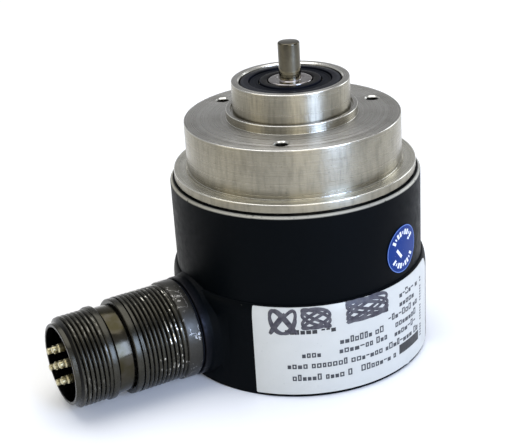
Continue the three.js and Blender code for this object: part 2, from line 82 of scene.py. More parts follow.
def new_object(name, data):
    made = bpy.data.objects.new(name, data)
    bpy.context.scene.collection.objects.link(made)
    return made


def make_camera():
    data = bpy.data.cameras.new("camera")
    data.lens = CAMERA_LENS
    data.sensor_width = 36
    camera = new_object("camera", data)
    back = Vector((0, -math.cos(CAMERA_ELEVATION), math.sin(CAMERA_ELEVATION)))
    right = Vector((1, 0, 0))
    up = back.cross(right)
    level = Matrix((right, up, back)).transposed()
    roll = Matrix.Rotation(CAMERA_ROLL, 3, "Z")
    camera.matrix_world = (level @ roll).to_4x4()
    camera.location = (Vector(CAMERA_TARGET) + back * CAMERA_DISTANCE) * MM
    bpy.context.scene.camera = camera


def area_light(name, place, target, size, power, color=(1, 1, 1)):
    data = bpy.data.lights.new(name, "AREA")
    data.shape = "RECTANGLE"
    data.size, data.size_y = size
    data.energy = power
    data.color = color
    light = new_object(name, data)
    light.location = place
    light.rotation_euler = (Vector(target) - Vector(place)).to_track_quat("-Z", "Y").to_euler()


def make_studio():
    mesh = bpy.data.meshes.new("floor")
    half = 3.0
    corners = [(-half, -half, 0), (half, -half, 0), (half, half, 0), (-half, half, 0)]
    mesh.from_pydata(corners, [], [(0, 1, 2, 3)])
    material, paper = new_material("floor_paper")
    paper.set("Base Color", rgb(0.93, 0.93, 0.93))
    paper.set("Roughness", 0.9)
    mesh.materials.append(material)
    new_object("floor", mesh)

    world = bpy.data.worlds.new("studio")
    world.use_nodes = True
    g = Graph(world)
    direction = g.node("ShaderNodeTexCoord").outputs["Generated"]
    height = g.node("ShaderNodeSeparateXYZ", {0: direction}).outputs[2]
    sky = g.mix(g.between(height, 0.02, 0.22), rgb(0.88, 0.89, 0.9), rgb(0.41, 0.415, 0.42))
    g.feed(world.node_tree.nodes["Background"].inputs["Color"], sky)
    bpy.context.scene.world = world
    bpy.context.scene.view_settings.view_transform = "Standard"
    target = (0, 0, 0.045)
    area_light("overhead", (0.0, 0.25, 1.1), (0, 0.1, 0), (1.3, 1.3), 12)
    area_light("window", (0.53, -0.6, 0.3), target, (0.34, 0.5), 6.8, (0.5, 0.65, 1))
    area_light("window_glow", (0.15, -0.85, 0.3), target, (0.5, 0.5), 1.5, (1, 0.95, 0.82))
    area_light("left_fill", (-0.8, -0.3, 0.35), target, (0.5, 0.6), 0.8, (1, 0.9, 0.66))
    area_light("right_fill", (0.75, 0.42, 0.3), target, (0.4, 0.5), 1.3, (0.9, 0.95, 1))


# ------------ node helpers


def new_material(name):
    material = bpy.data.materials.new(name)
    material.use_nodes = True
    return material, Graph(material)


class Graph:
    """Short calls for building the nodes of a material or of the world."""

    def __init__(self, owner):
        self.tree = owner.node_tree
        self.shader = self.tree.nodes.get("Principled BSDF")

    def set(self, name, value):
        """Gives the shader's own socket a node's result or a fixed value."""
        self.feed(self.shader.inputs[name], value)

    def node(self, kind, inputs=(), **settings):
        made = self.tree.nodes.new(kind)
        for key, value in settings.items():
            setattr(made, key, value)
        for key, value in dict(inputs).items():
            self.feed(made.inputs[key], value)
        return made

    def feed(self, socket, value):
        if isinstance(value, bpy.types.NodeSocket):
            self.tree.links.new(value, socket)
        else:
            socket.default_value = value

    def math(self, operation, a, b=0.0, clamp=False):
        made = self.node("ShaderNodeMath", operation=operation, use_clamp=clamp)
        self.feed(made.inputs[0], a)
        self.feed(made.inputs[1], b)
        return made.outputs[0]

    def add(self, a, b, clamp=False):
        return self.math("ADD", a, b, clamp)

    def sub(self, a, b):
        return self.math("SUBTRACT", a, b)

    def mul(self, a, b):
        return self.math("MULTIPLY", a, b)

    def vector(self, operation, a, b=(0, 0, 0)):
        made = self.node("ShaderNodeVectorMath", {0: a, 1: b}, operation=operation)
        return made.outputs["Value" if operation in ("DOT_PRODUCT", "LENGTH", "DISTANCE") else "Vector"]

    def scaled(self, vector, factor):
        return self.node("ShaderNodeVectorMath", {0: vector, 3: factor}, operation="SCALE").outputs["Vector"]

    def pair(self, x, y):
        """A texture coordinate made of two lengths."""
        return self.node("ShaderNodeCombineXYZ", {0: x, 1: y}).outputs[0]

    def position(self):
        """Place in millimetres: the point, its x, y and z, and its distance from the shaft's axis."""
        place = self.scaled(self.node("ShaderNodeTexCoord").outputs["Object"], 1 / MM)
        x, y, z = self.node("ShaderNodeSeparateXYZ", {0: place}).outputs
        radius = self.math("SQRT", self.add(self.mul(x, x), self.mul(y, y)))
        return place, x, y, z, radius

    def along_connector(self):
        """Distance along the side connector's axis, distance from it (both millimetres), and the axis."""
        turn = math.radians(CONNECTOR_AZIMUTH)
        axis = (math.cos(turn), math.sin(turn), 0)
        offset = self.vector("SUBTRACT", self.position()[0], (0, 0, CONNECTOR_HEIGHT))
        along = self.vector("DOT_PRODUCT", offset, axis)
        out = self.vector("SUBTRACT", offset, self.scaled(axis, along))
        return along, self.vector("LENGTH", out), axis

    def noise(self, vector, scale, detail=3.0, roughness=0.55):
        inputs = {"Vector": vector, "Scale": scale, "Detail": detail, "Roughness": roughness}
        return self.node("ShaderNodeTexNoise", inputs).outputs["Fac"]

    def between(self, value, low, high, to_low=0.0, to_high=1.0):
        inputs = {"Value": value, "From Min": low, "From Max": high, "To Min": to_low, "To Max": to_high}
        return self.node("ShaderNodeMapRange", inputs).outputs["Result"]

    def mix(self, factor, a, b):
        made = self.node("ShaderNodeMix", data_type="RGBA")
        self.feed(made.inputs[0], factor)
        self.feed(made.inputs[6], a)
        self.feed(made.inputs[7], b)
        return made.outputs[2]

    def bump(self, height, distance, strength=1.0):
        inputs = {"Height": height, "Distance": distance, "Strength": strength}
        return self.node("ShaderNodeBump", inputs).outputs["Normal"]


def rgb(r, g, b):
    return (r, g, b, 1)


# ------------ shape helpers


def rounded(outline, steps=4):
    """Corners of (r, z) or (r, z, radius): a corner with a radius becomes an arc."""
    points = []
    count = len(outline)
    for i, corner in enumerate(outline):
        here = Vector(corner[:2])
        radius = corner[2] if len(corner) > 2 else 0
        if not radius:
            points.append(here)
            continue
        to_last = (Vector(outline[i - 1][:2]) - here).normalized()
        to_next = (Vector(outline[(i + 1) % count][:2]) - here).normalized()
        half = to_last.angle(to_next) / 2
        middle = here + (to_last + to_next).normalized() * (radius / math.sin(half))
        start = here + to_last * (radius / math.tan(half)) - middle
        swept = math.pi - 2 * half
        turning = 1 if to_last.x * to_next.y - to_last.y * to_next.x < 0 else -1
        for step in range(steps + 1):
            turn = math.atan2(start.y, start.x) + turning * swept * step / steps
            points.append(middle + Vector((math.cos(turn), math.sin(turn))) * radius)
    return points


def shade(bm):
    """Smooth shading, apart from edges that turn by SHARP_ANGLE or more."""
    for face in bm.faces:
        face.smooth = True
    for edge in bm.edges:
        edge.smooth = len(edge.link_faces) == 2 and edge.calc_face_angle(0) < SHARP_ANGLE


def mesh_object(name, bm):
    bmesh.ops.recalc_face_normals(bm, faces=bm.faces)
    shade(bm)
    mesh = bpy.data.meshes.new(name)
    bm.to_mesh(mesh)
    bm.free()
    return new_object(name, mesh)


def revolve(name, outline, segments=FINE, shape=None, matrix=None, steps=4):
    """Turns a closed (r, z) outline round +Z. shape(r, z, turn) may change a point's radius."""
    matrix = matrix or Matrix.Identity(4)
    bm = bmesh.new()
    rings = []
    for r, z in rounded(outline, steps):
        if abs(r) < 1e-6:
            rings.append([bm.verts.new(matrix @ Vector((0, 0, z * MM)))])
            continue
        ring = []
        for k in range(segments):
            turn = TURN * k / segments
            radius = shape(r, z, turn) if shape else r
            place = Vector((radius * math.cos(turn), radius * math.sin(turn), z)) * MM
            ring.append(bm.verts.new(matrix @ place))
        rings.append(ring)
    for a, b in zip(rings, rings[1:] + rings[:1]):
        if len(a) == 1 and len(b) == 1:
            continue
        for k in range(segments):
            n = (k + 1) % segments
            if len(a) == 1:
                bm.faces.new((a[0], b[k], b[n]))
            elif len(b) == 1:
                bm.faces.new((a[k], b[0], a[n]))
            else:
                bm.faces.new((a[k], b[k], b[n], a[n]))
    return mesh_object(name, bm)


def walls(bm, under, over):
    count = len(under)
    for i in range(count):
        n = (i + 1) % count
        bm.faces.new((under[i], under[n], over[n], over[i]))


def slab(bm, under, over):
    """Closes the space between two matching loops of points."""
    under, over = ([bm.verts.new(point) for point in loop] for loop in (under, over))
    bm.faces.new(under[::-1])
    bm.faces.new(over)
    walls(bm, under, over)


def prism_into(bm, points, low, high, matrix=None):
    """A closed outline of (x, y) points, raised from low to high."""
    matrix = matrix or Matrix.Identity(4)
    slab(bm, *([matrix @ (Vector((x, y, z)) * MM) for x, y in points] for z in (low, high)))


def circle(radius, count):
    turns = [TURN * k / count for k in range(count)]
    return [(radius * math.cos(t), radius * math.sin(t)) for t in turns]


def bevel(piece, width):
    """Rounds a piece's sharp edges."""
    bm = bmesh.new()
    bm.from_mesh(piece.data)
    edges = [e for e in bm.edges if not e.smooth]
    bmesh.ops.bevel(bm, geom=edges, offset=width * MM, segments=2, affect="EDGES", profile=0.5)
    shade(bm)
    bm.to_mesh(piece.data)
    bm.free()
    return piece


def combine(piece, other, operation):
    """Joins or cuts two closed pieces, applies the result and deletes the other piece."""
    change = piece.modifiers.new(operation, "BOOLEAN")
    change.operation = operation
    change.solver = "EXACT"
    change.object = other
    graph = bpy.context.evaluated_depsgraph_get()
    result = bpy.data.meshes.new_from_object(piece.evaluated_get(graph))
    piece.modifiers.clear()
    piece.data = result
    bpy.data.objects.remove(other)
    bm = bmesh.new()
    bm.from_mesh(result)
    bmesh.ops.dissolve_degenerate(bm, dist=1e-7, edges=bm.edges)
    shade(bm)
    bm.to_mesh(result)
    bm.free()
    return piece


def drill(piece, outline, segments, place):
    """Cuts a turned shape out of a piece."""
    combine(piece, revolve("cutter", outline, segments, matrix=place), "DIFFERENCE")


def polar(radius, azimuth, z=0.0):
    turn = math.radians(azimuth)
    return Vector((radius * math.cos(turn), radius * math.sin(turn), z))


def around(count, radius, first):
    return [polar(radius, first + 360 * i / count) for i in range(count)]


TAPPED_HOLES = around(3, 24.7, 20.6)
TIE_SCREWS = around(3, 28.9, 27)
STANDOFFS = around(3, 24, 87)
CONTACTS = [Vector((0, 0, 0)), *around(6, 5, 0)]


def connector_axis():
    """From a piece turned round +Z to one that lies along the connector, with +X of the piece down."""
    turn = Matrix.Rotation(math.radians(CONNECTOR_AZIMUTH), 4, "Z")
    tilt = Matrix.Rotation(math.radians(90), 4, "Y")
    return Matrix.Translation((0, 0, CONNECTOR_HEIGHT * MM)) @ turn @ tilt


def finish(piece, body, slot, material, *nodes):
    """Puts a piece on its body, gives it its material and hides the CAD nodes it stands for."""
    piece.data.materials.clear()
    piece.data.materials.append(material)
    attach(piece, body)
    if nodes:
        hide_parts(*nodes)
    return piece


def repaint(node, material):
    """Gives a carried-over CAD node a better material."""
    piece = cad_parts[node]
    piece.data.materials.clear()
    piece.data.materials.append(material)
    for face in piece.data.polygons:
        face.use_smooth = False


# ------------ materials


def turned_metal(name, lit_face_colour, shaded_wall_colour):
    """Lathe-turned metal: tool marks round the shaft, faint chatter along it and stains; flat faces painted
    lighter than walls, burnished edges painted bright as highlights, a painted highlight on the lower rim
    faces and painted shade inside the tapped holes.
    """
    material, g = new_material(name)
    place, x, y, z, radius = g.position()
    normal = g.node("ShaderNodeNewGeometry").outputs["Normal"]
    facing = g.math("ABSOLUTE", g.node("ShaderNodeSeparateXYZ", {0: normal}).outputs[2])
    # Slanted faces of the rounded edges: they carry a painted highlight below, and lower roughness.
    edge = g.mul(g.between(facing, 0.12, 0.4), g.between(facing, 0.97, 0.8))
    tool = g.pair(radius, z)
    marks = g.noise(tool, 4.5, 4, 0.75)
    bands = g.noise(tool, 0.9, 3)
    turn = g.mul(g.math("ARCTAN2", y, x), 20)
    chatter = g.noise(g.pair(turn, g.mul(z, 0.12)), 1.1, 3, 0.6)
    cloud = g.noise(place, 0.14, 5, 0.65)
    specks = g.between(g.noise(place, 1.5, 2), 0.69, 0.74)
    stain = g.between(cloud, 0.45, 0.75, 0, 0.3)
    # Painted light and shade: flat faces get the lighter colour, walls the darker, warmer one.
    tone = g.mix(g.between(facing, 0.3, 0.8), shaded_wall_colour, lit_face_colour)
    # Painted highlight: the faces of the lower rim are painted bright.
    rim_painted_highlight = g.mul(g.between(facing, 0.5, 0.9), g.between(z, 57.0, 56.6))
    tone = g.mix(rim_painted_highlight, tone, rgb(0.82, 0.8, 0.72))
    on_wall = g.between(facing, 0.3, 0.1)
    upright = g.mul(on_wall, g.between(chatter, 0.45, 0.7, 0, 0.45))
    lines = g.add(g.between(marks, 0.35, 0.8, 0, 0.6), upright)
    streaked = g.add(stain, lines, clamp=True)
    tone = g.mix(streaked, tone, [c * 0.5 for c in shaded_wall_colour[:3]] + [1])
    tone = g.mix(g.mul(specks, 0.5), tone, rgb(0.1, 0.09, 0.07))
    # Burnished edges, painted bright as highlights.
    tone = g.mix(g.mul(edge, 0.75), tone, rgb(0.86, 0.85, 0.8))
    flat = g.pair(x, y)
    # Painted shade inside the three tapped holes.
    for hole in TAPPED_HOLES:
        away = g.vector("DISTANCE", flat, hole)
        tone = g.mix(g.between(away, 1.9, 1.7, 0, 0.9), tone, rgb(0.02, 0.02, 0.015))
    rough = g.add(0.29, g.mul(g.sub(bands, 0.5), 0.4))
    rough = g.sub(rough, g.mul(edge, 0.14))
    rough = g.add(rough, g.mul(specks, 0.15), clamp=True)
    g.set("Base Color", tone)
    g.set("Roughness", rough)
    g.set("Metallic", 1.0)
    g.set("Anisotropic", 0.8)
    g.set("Anisotropic Rotation", 0.25)  # the grooves run round the shaft
    height = g.add(g.mul(marks, 0.5), g.mul(chatter, 4.5))
    height = g.sub(height, g.mul(specks, 0.6))
    g.set("Normal", g.bump(height, 0.012 * MM))
    return material


def worn_paint(name):
    """Satin black paint: faint orange peel, dust, bare metal where the sharp edges have rubbed, a bright
    dotted line along the crease above the step that is partly wear and partly a painted highlight, and a
    lighter metallic band on the side boss's rim, painted as a sheen.
    """
    material, g = new_material(name)
    place, _, _, z, radius = g.position()
    peel = g.noise(place, 1.1, 2)
    dust = g.between(g.noise(place, 0.3, 6, 0.7), 0.5, 0.8)
    chips = g.noise(place, 0.9, 4, 0.75)
    top_edge = g.between(z, HOUSING_SHOULDER, HOUSING_SHOULDER + 0.35)
    rim = g.between(radius, 34.2, 34.9)
    top_wear = g.mul(g.mul(top_edge, rim), g.between(chips, 0.3, 0.42))
    # Along the crease above the step: a dotted bright line, partly worn paint and partly a painted highlight;
    # the base edge scuffs are real wear.
    slope = g.between(radius, FRONT_RADIUS + 0.03, FRONT_RADIUS + 0.13)
    step = g.mul(slope, g.between(z, STEP_HIGH - 1, STEP_HIGH - 0.6))
    base = g.between(z, 0.7, 0.2)
    scuffs_and_crease_highlight = g.mul(g.add(step, base, clamp=True), g.between(chips, 0.7, 0.73))
    bare_metal_and_highlight = g.add(top_wear, scuffs_and_crease_highlight, clamp=True)
    along, out, _ = g.along_connector()
    # A lighter, metallic, smoother band on the side boss's rim, painted as a sheen.
    boss_rim_sheen = g.mul(g.between(along, 36.5, 38.3), g.between(out, 13.2, 13.6))
    boss_rim_sheen = g.mul(boss_rim_sheen, g.between(chips, 0.3, 0.6, 0.3, 0.9))
    paint = g.mix(g.mul(dust, 0.35), rgb(0.0005, 0.0012, 0.0019), rgb(0.0013, 0.0022, 0.0031))
    paint = g.mix(boss_rim_sheen, paint, rgb(0.012, 0.012, 0.015))
    g.set("Base Color", g.mix(bare_metal_and_highlight, paint, rgb(0.62, 0.6, 0.52)))
    g.set("Metallic", g.add(bare_metal_and_highlight, boss_rim_sheen, clamp=True))
    rough = g.between(g.noise(place, 0.5, 4), 0.3, 0.7, 0.36, 0.5)
    g.set("Roughness", g.sub(rough, g.mul(boss_rim_sheen, 0.15)))
    g.set("Specular IOR Level", 0.04)
    height = g.sub(peel, g.mul(bare_metal_and_highlight, 1.5))
    g.set("Normal", g.bump(height, 0.012 * MM, 0.5))
    return material


def olive_plating(name):
    """Dark olive plating: grey collar, tinted barrel, scratches, painted shade in the thread roots, the
    joints and the bore, and worn crests painted pale, partly as glints.
    """
    material, g = new_material(name)
    place = g.position()[0]
    along, out, axis = g.along_connector()
    cloud = g.noise(place, 0.45, 5, 0.65)
    patch = g.noise(place, 0.17, 3, 0.6)
    fine = g.noise(place, 1.6, 4, 0.75)
    squeezed = g.vector("ADD", place, g.scaled(axis, g.mul(along, 5)))
    ringed = g.noise(squeezed, 0.4, 3, 0.6)

    def span(low, high, soft=0.15):
        return g.mul(g.between(along, low, low + soft), g.between(along, high, high - soft))

    def over(amount, tone, colour, strength=1.0):
        return g.mix(g.mul(amount, strength), tone, colour)

    def threads(limits, top, wear_and_glint):
        """Painted shade for a thread's roots, and its crests with how much wear and glint they are painted
        with.
        """
        thread_span = span(*limits)
        root_shade = g.mul(thread_span, g.between(out, top - 0.17, top - 0.4))
        return root_shade, g.mul(thread_span, g.between(out, top - 0.09, top - 0.03, 0, wear_and_glint))

    collar, barrel = span(*COLLAR), span(*BARREL)
    rear_root_shade, rear_crest = threads(REAR_THREAD, REAR_CREST, 1)
    front_root_shade, front_crest = threads(FRONT_THREAD, FRONT_CREST, 0.12)
    # Crests painted pale in patches, mostly towards the collar: partly real wear, partly painted glints.
    crest = g.add(g.mul(rear_crest, g.between(along, 54.5, 48.5)), front_crest)
    worn_crest_glint = g.mul(g.mul(crest, g.between(patch, 0.55, 0.58)), g.between(ringed, 0.5, 0.54))
    line = g.math("ABSOLUTE", g.sub(g.noise(place, 0.24, 3, 0.6), 0.5))
    scratch = g.mul(g.between(line, 0.01, 0.001), g.between(patch, 0.44, 0.5))
    # Painted shadow in the gap where the adapter meets the barrel and in the groove before the shell's last
    # ring.
    joint_painted_shadow = g.add(span(58.3, 59.1, 0.3), span(62.9, 63.4, 0.1), clamp=True)

    tone = g.mix(cloud, rgb(0.022, 0.021, 0.016), rgb(0.06, 0.057, 0.046))
    tone = over(collar, tone, g.mix(fine, rgb(0.028, 0.027, 0.024), rgb(0.07, 0.067, 0.06)), 0.85)
    drift = g.between(g.noise(place, 0.25, 2), 0.38, 0.62)
    tint = g.mix(drift, rgb(0.034, 0.029, 0.013), rgb(0.052, 0.046, 0.034))
    tone = over(barrel, tone, tint, 0.95)
    tone = over(g.mul(scratch, collar), tone, rgb(0.6, 0.58, 0.55), 0.9)
    # Painted shade: the thread roots and the joints between the parts are painted near black.
    root_shade = g.add(g.add(rear_root_shade, front_root_shade), joint_painted_shadow, clamp=True)
    tone = over(root_shade, tone, rgb(0.003, 0.003, 0.003), 0.95)
    tone = over(worn_crest_glint, tone, rgb(0.8, 0.77, 0.68), 0.95)
    # Painted shade inside the bore.
    tone = over(g.between(out, 11.2, 10.6), tone, rgb(0.004, 0.004, 0.004))
    g.set("Base Color", tone)
    g.set("Metallic", 0.9)
    rough = g.add(g.between(cloud, 0.3, 0.7, 0.2, 0.34), g.mul(collar, 0.12))
    rough = g.sub(rough, g.mul(barrel, 0.1))
    g.set("Roughness", g.sub(rough, g.mul(worn_crest_glint, 0.1)))
    g.set("Normal", g.bump(g.add(cloud, g.mul(fine, 0.5)), 0.02 * MM, 0.6))
    return material


def shaft_steel(name):
    """Ground steel with the free end painted dark for the dark surroundings it reflects, a painted
    reflection, with turning marks left near its foot.
    """
    material, g = new_material(name)
    place, _, _, z, radius = g.position()
    marks = g.noise(g.pair(radius, z), 3.2, 4, 0.7)
    up = g.sub(z, SHAFT_SHOULDER)
    foot = g.mul(g.between(up, 0.02, 0.1), g.between(up, 2.9, 1.5))
    free = g.between(up, 0.05, 0.3)
    dirt = g.between(g.noise(place, 0.8, 5, 0.65), 0.5, 0.75)
    # Painted reflection: the free end is painted dark for the dark surroundings it reflects.
    tone = g.mix(free, rgb(0.34, 0.32, 0.325), rgb(0.1, 0.09, 0.066))
    tone = g.mix(g.mul(dirt, 0.5), tone, rgb(0.05, 0.045, 0.035))
    tone = g.mix(g.mul(foot, g.between(marks, 0.4, 0.6)), tone, rgb(0.3, 0.27, 0.19))
    g.set("Base Color", tone)
    g.set("Metallic", 1.0)
    g.set("Roughness", g.between(marks, 0.2, 0.8, 0.08, 0.18))
    height = g.mul(marks, g.between(foot, 0, 1, 0.04, 1))
    g.set("Normal", g.bump(height, 0.03 * MM))
    return material


def bearing_steel(name):
    """Oiled bearing rings: nearly black beside the shaft, blue-black further out, greyer at the rim."""
    material, g = new_material(name)
    place, _, _, _, radius = g.position()
    cloud = g.noise(place, 0.5, 4, 0.6)
    tone = g.mix(g.between(radius, 7.9, 8.2), rgb(0.002, 0.002, 0.003), rgb(0.006, 0.007, 0.012))
    tone = g.mix(g.between(radius, 12.6, 12.9), tone, rgb(0.02, 0.022, 0.028))
    g.set("Base Color", g.mix(g.mul(cloud, 0.4), tone, rgb(0.004, 0.004, 0.006)))
    g.set("Specular IOR Level", 0.04)
    g.set("Roughness", g.between(cloud, 0.3, 0.7, 0.26, 0.4))
    g.set("Normal", g.bump(cloud, 0.02 * MM, 0.6))
    return material


def plain_metal(name, colour, roughness):
    """Ground or drawn metal with fine streaks and a little dirt."""
    material, g = new_material(name)
    place, _, _, z, radius = g.position()
    grind = g.noise(g.pair(radius, z), 7, 3, 0.7)
    dirt = g.between(g.noise(place, 0.7, 5, 0.65), 0.5, 0.75)
    dark = [c * 0.45 for c in colour[:3]] + [1]
    g.set("Base Color", g.mix(g.mul(dirt, 0.35), colour, dark))
    g.set("Metallic", 1.0)
    g.set("Roughness", g.between(grind, 0.2, 0.8, roughness - 0.12, roughness + 0.12))
    g.set("Normal", g.bump(grind, 0.003 * MM, 0.7))
    return material


def plain_plastic(name, colour, roughness, gloss=0.5):
    """Moulded plastic or rubber with a fine grain and slightly uneven colour."""
    material, g = new_material(name)
    place = g.position()[0]
    fine = g.noise(place, 3.5, 3)
    cloud = g.noise(place, 0.4, 4)
    pale = [min(1, c * 1.5 + 0.01) for c in colour[:3]] + [1]
    g.set("Base Color", g.mix(g.mul(cloud, 0.5), colour, pale))
    g.set("Roughness", g.between(fine, 0.3, 0.7, roughness - 0.06, roughness + 0.06))
    g.set("Specular IOR Level", gloss)
    g.set("Normal", g.bump(fine, 0.01 * MM, 0.6))
    return material


def printed_film(name, colour, roughness=0.38, gloss=0.5):
    """Coated label stock: faint mottling, a few specks of dirt and a slight waviness."""
    material, g = new_material(name)
    place = g.position()[0]
    specks = g.between(g.noise(place, 1.9, 2), 0.7, 0.76)
    mottle = g.noise(place, 0.2, 4)
    grey = [c * 0.9 for c in colour[:3]] + [1]
    tone = g.mix(mottle, colour, grey)
    g.set("Base Color", g.mix(g.mul(specks, 0.45), tone, rgb(0.2, 0.2, 0.2)))
    g.set("Roughness", g.between(mottle, 0.3, 0.7, roughness - 0.05, roughness + 0.08))
    g.set("Specular IOR Level", gloss)
    g.set("Coat Weight", gloss * 0.3)
    g.set("Coat Roughness", 0.25)
    g.set("Normal", g.bump(mottle, 0.05 * MM, 0.4))
    return material


def ink(name, colour, spread=0.5):
    """Printing ink or marker that covers unevenly."""
    material, g = new_material(name)
    place = g.position()[0]
    cover = g.between(g.noise(place, 0.55, 4, 0.6), 0.35, 0.7)
    pale = [c + (0.32 - c) * spread for c in colour[:3]] + [1]
    g.set("Base Color", g.mix(cover, colour, pale))
    g.set("Roughness", g.between(cover, 0, 1, 0.42, 0.6))
    return material


# ------------ flange, housing and rear cover


def flange_outline():
    return [
        (29.5, 42), (32.7, 42, 0.3), (32.7, 46), (31.6, 46, 0.2), (31.6, 48, 0.2), (32.7, 48),
        (32.7, 52.9), (33.76, 52.9, 0.3), (33.76, 55.4, 0.28), (30.5, 55.4, 0.06),
        (29.7, 55.15, 0.1), (29.7, 56.1, 0.1), (30, 56.4, 0.1), (30, PILOT_TOP, 0.3),
        (18.2, PILOT_TOP, 0.1), (18.2, 71.2, 0.25), (17.05, 71.2, 0.15), (16.9, 70.2, 0.1),
        (16.25, 70.2, 0.1), (16.25, 79, 0.3), (14.5, 79, 0.1), (14.1, 78.6, 0.1), (14.1, 70.6),
        (12.4, 70.6, 0.2), (12.4, 62.6, 0.2), (14.1, 62.6), (14.1, 50, 0.2), (16.6, 50, 0.3),
        (16.6, 54), (29.5, 54),
    ]


def make_flange(material):
    piece = revolve("flange_body", flange_outline(), 256)
    hole = [(0, 59), (1.7, 59), (1.7, 68.35), (2.3, 68.95), (2.3, 70), (0, 70)]
    for at in TAPPED_HOLES:
        drill(piece, hole, 40, Matrix.Translation(at * MM))
    finish(piece, "stator", "machined_aluminium", material, "flange")


def housing_radius(z):
    """Outer radius of the housing near its step, where a quarter-round slope joins the two widths."""
    rise = min(max((z - STEP_LOW) / (STEP_HIGH - STEP_LOW), 0), 1)
    return FRONT_RADIUS + (REAR_RADIUS - FRONT_RADIUS) * math.sqrt(1 - rise * rise)


def make_housing(material):
    steps = [STEP_LOW + (STEP_HIGH - STEP_LOW) * math.sin(TURN / 4 * k / 14) for k in range(15)]
    slope = [(housing_radius(z), z) for z in steps]
    outline = [
        (34.3, 0, 0.15), (REAR_RADIUS, 0, 0.4), *slope, (FRONT_RADIUS, HOUSING_SHOULDER, 0.12),
        (34.4, HOUSING_TOP, 0.15), (33, HOUSING_TOP, 0.15), (33, 4.3), (34.3, 4.3),
    ]
    piece = revolve("housing_shell", outline, 256)
    axis = connector_axis()
    drill(piece, [(0, 24), (9.9, 24), (9.9, 40), (0, 40)], MEDIUM, axis)
    lowest = CONNECTOR_HEIGHT - 0.2

    def above_base(r, s, turn):
        down = math.cos(turn)
        return min(r, lowest / down) if down > 0.05 else r

    flare = [(9.9, 31.2), (16.4, 31.2), (16.4, 32.4), (15, 34, 1.2), (14.15, 36, 1.2), (14.15, 38.6, 0.3),
             (9.9, 38.6, 0.1)]
    boss = revolve("side_boss", flare, MEDIUM, above_base, axis, steps=6)
    combine(piece, boss, "UNION")
    finish(piece, "stator", "black_paint", material, "housing")


def make_rear_cover(paint, steel):
    outline = [
        (0, 0), (31.2, 0), (31.35, 0.15), (31.65, 0.15), (31.8, 0), (34, 0, 0.35), (34, 4, 0.2), (0, 4),
    ]
    piece = revolve("rear_cover_plate", outline, FINE)
    counterbore = [(0, -1), (3.4, -1), (3.4, -0.01), (3.1, 0.3), (3.1, 2.5), (1.8, 2.5), (1.8, 5), (0, 5)]
    for i, at in enumerate(TIE_SCREWS):
        place = Matrix.Translation(at * MM)
        drill(piece, counterbore, 48, place)
        make_tie_screw(i, place, steel)
    finish(piece, "stator", "black_paint", paint, "rear_cover")


def make_tie_screw(i, place, material):
    shank = thread_steps(4.5, 50, 0.5, 4)
    outline = [(0, 0.5), (2.75, 0.5, 0.3), (2.75, 2.2, 0.1), (1.5, 2.2, 0.1)]
    outline += [(1.5, z) for z in shank] + [(1.1, 50), (0, 50)]
    ridges = thread(1.5, 0.3, 0.5, 4.5, 49.5)
    piece = revolve(f"tie_screw_{i + 1}_body", outline, 32, ridges, place)
    bm = bmesh.new()
    prism_into(bm, circle(1.25, 6), 0, 1.7, place)
    combine(piece, mesh_object("socket", bm), "DIFFERENCE")
    finish(piece, "stator", "polished_steel", material, f"tie_screw_{i + 1}")


# ------------ threads


def thread_steps(low, high, pitch, per_pitch=12):
    count = int((high - low) / pitch * per_pitch)
    return [low + (high - low) * k / count for k in range(count + 1)]


def thread(crest, depth, pitch, low, high):
    """A right-hand thread with rounded crests, which fades in and out over one pitch at each end."""

    def shape(r, s, turn):
        if not low < s < high:
            return r
        fade = min((s - low) / pitch, (high - s) / pitch, 1)
        phase = ((s - low) / pitch - turn / TURN) % 1
        short_of_crest = 1 - abs(2 * phase - 1)
        return min(r, crest - depth * fade * (1 - math.sqrt(1 - short_of_crest ** 2)))

    return shape


# ------------ bearings


BEARING_HALF = 4
BALL_COUNT, BALL_RADIUS, BALL_CIRCLE = 7, 2.3, 10
TRACK_RADIUS, TRACK_REACH = 2.42, 1.9


def ball_track(centre, side):
    """The groove the balls run in, in the outer ring (side 1) or in the inner ring (side -1)."""
    steps = 8
    heights = [-TRACK_REACH + 2 * TRACK_REACH * k / steps for k in range(steps + 1)]
    return [(BALL_CIRCLE + side * math.sqrt(TRACK_RADIUS ** 2 - dz * dz), centre + dz) for dz in heights]


def make_bearing(name, centre, materials):
    low, high = centre - BEARING_HALF, centre + BEARING_HALF
    outer = [(11.5, low, 0.1), (13.85, low, 0.5), (13.85, high, 0.5), (11.5, high, 0.12)]
    outer += ball_track(centre, 1)[::-1]
    piece = revolve(f"{name}_outer_race", outer, FINE)
    finish(piece, "stator", "bearing_steel", materials["race"], f"{name}_bearing_outer_ring")
    inner = [(6.25, low, 0.5), (8.4, low, 0.12), *ball_track(centre, -1), (8.4, high, 0.12),
             (6.25, high, 0.5)]
    piece = revolve(f"{name}_inner_race", inner, FINE)
    finish(piece, "rotor", "bearing_steel", materials["race"], f"{name}_bearing_inner_ring")
    repaint(f"{name}_bearing_cage", materials["nylon"])
    for i, at in enumerate(around(BALL_COUNT, BALL_CIRCLE, 0)):
        bm = bmesh.new()
        place = Matrix.Translation((at + Vector((0, 0, centre))) * MM)
        bmesh.ops.create_icosphere(bm, subdivisions=3, radius=BALL_RADIUS * MM, matrix=place)
        ball = mesh_object(f"{name}_bearing_ball_{i + 1}", bm)
        finish(ball, f"{name}_ball_set", "polished_steel", materials["steel"], f"{name}_ball_{i + 1}")


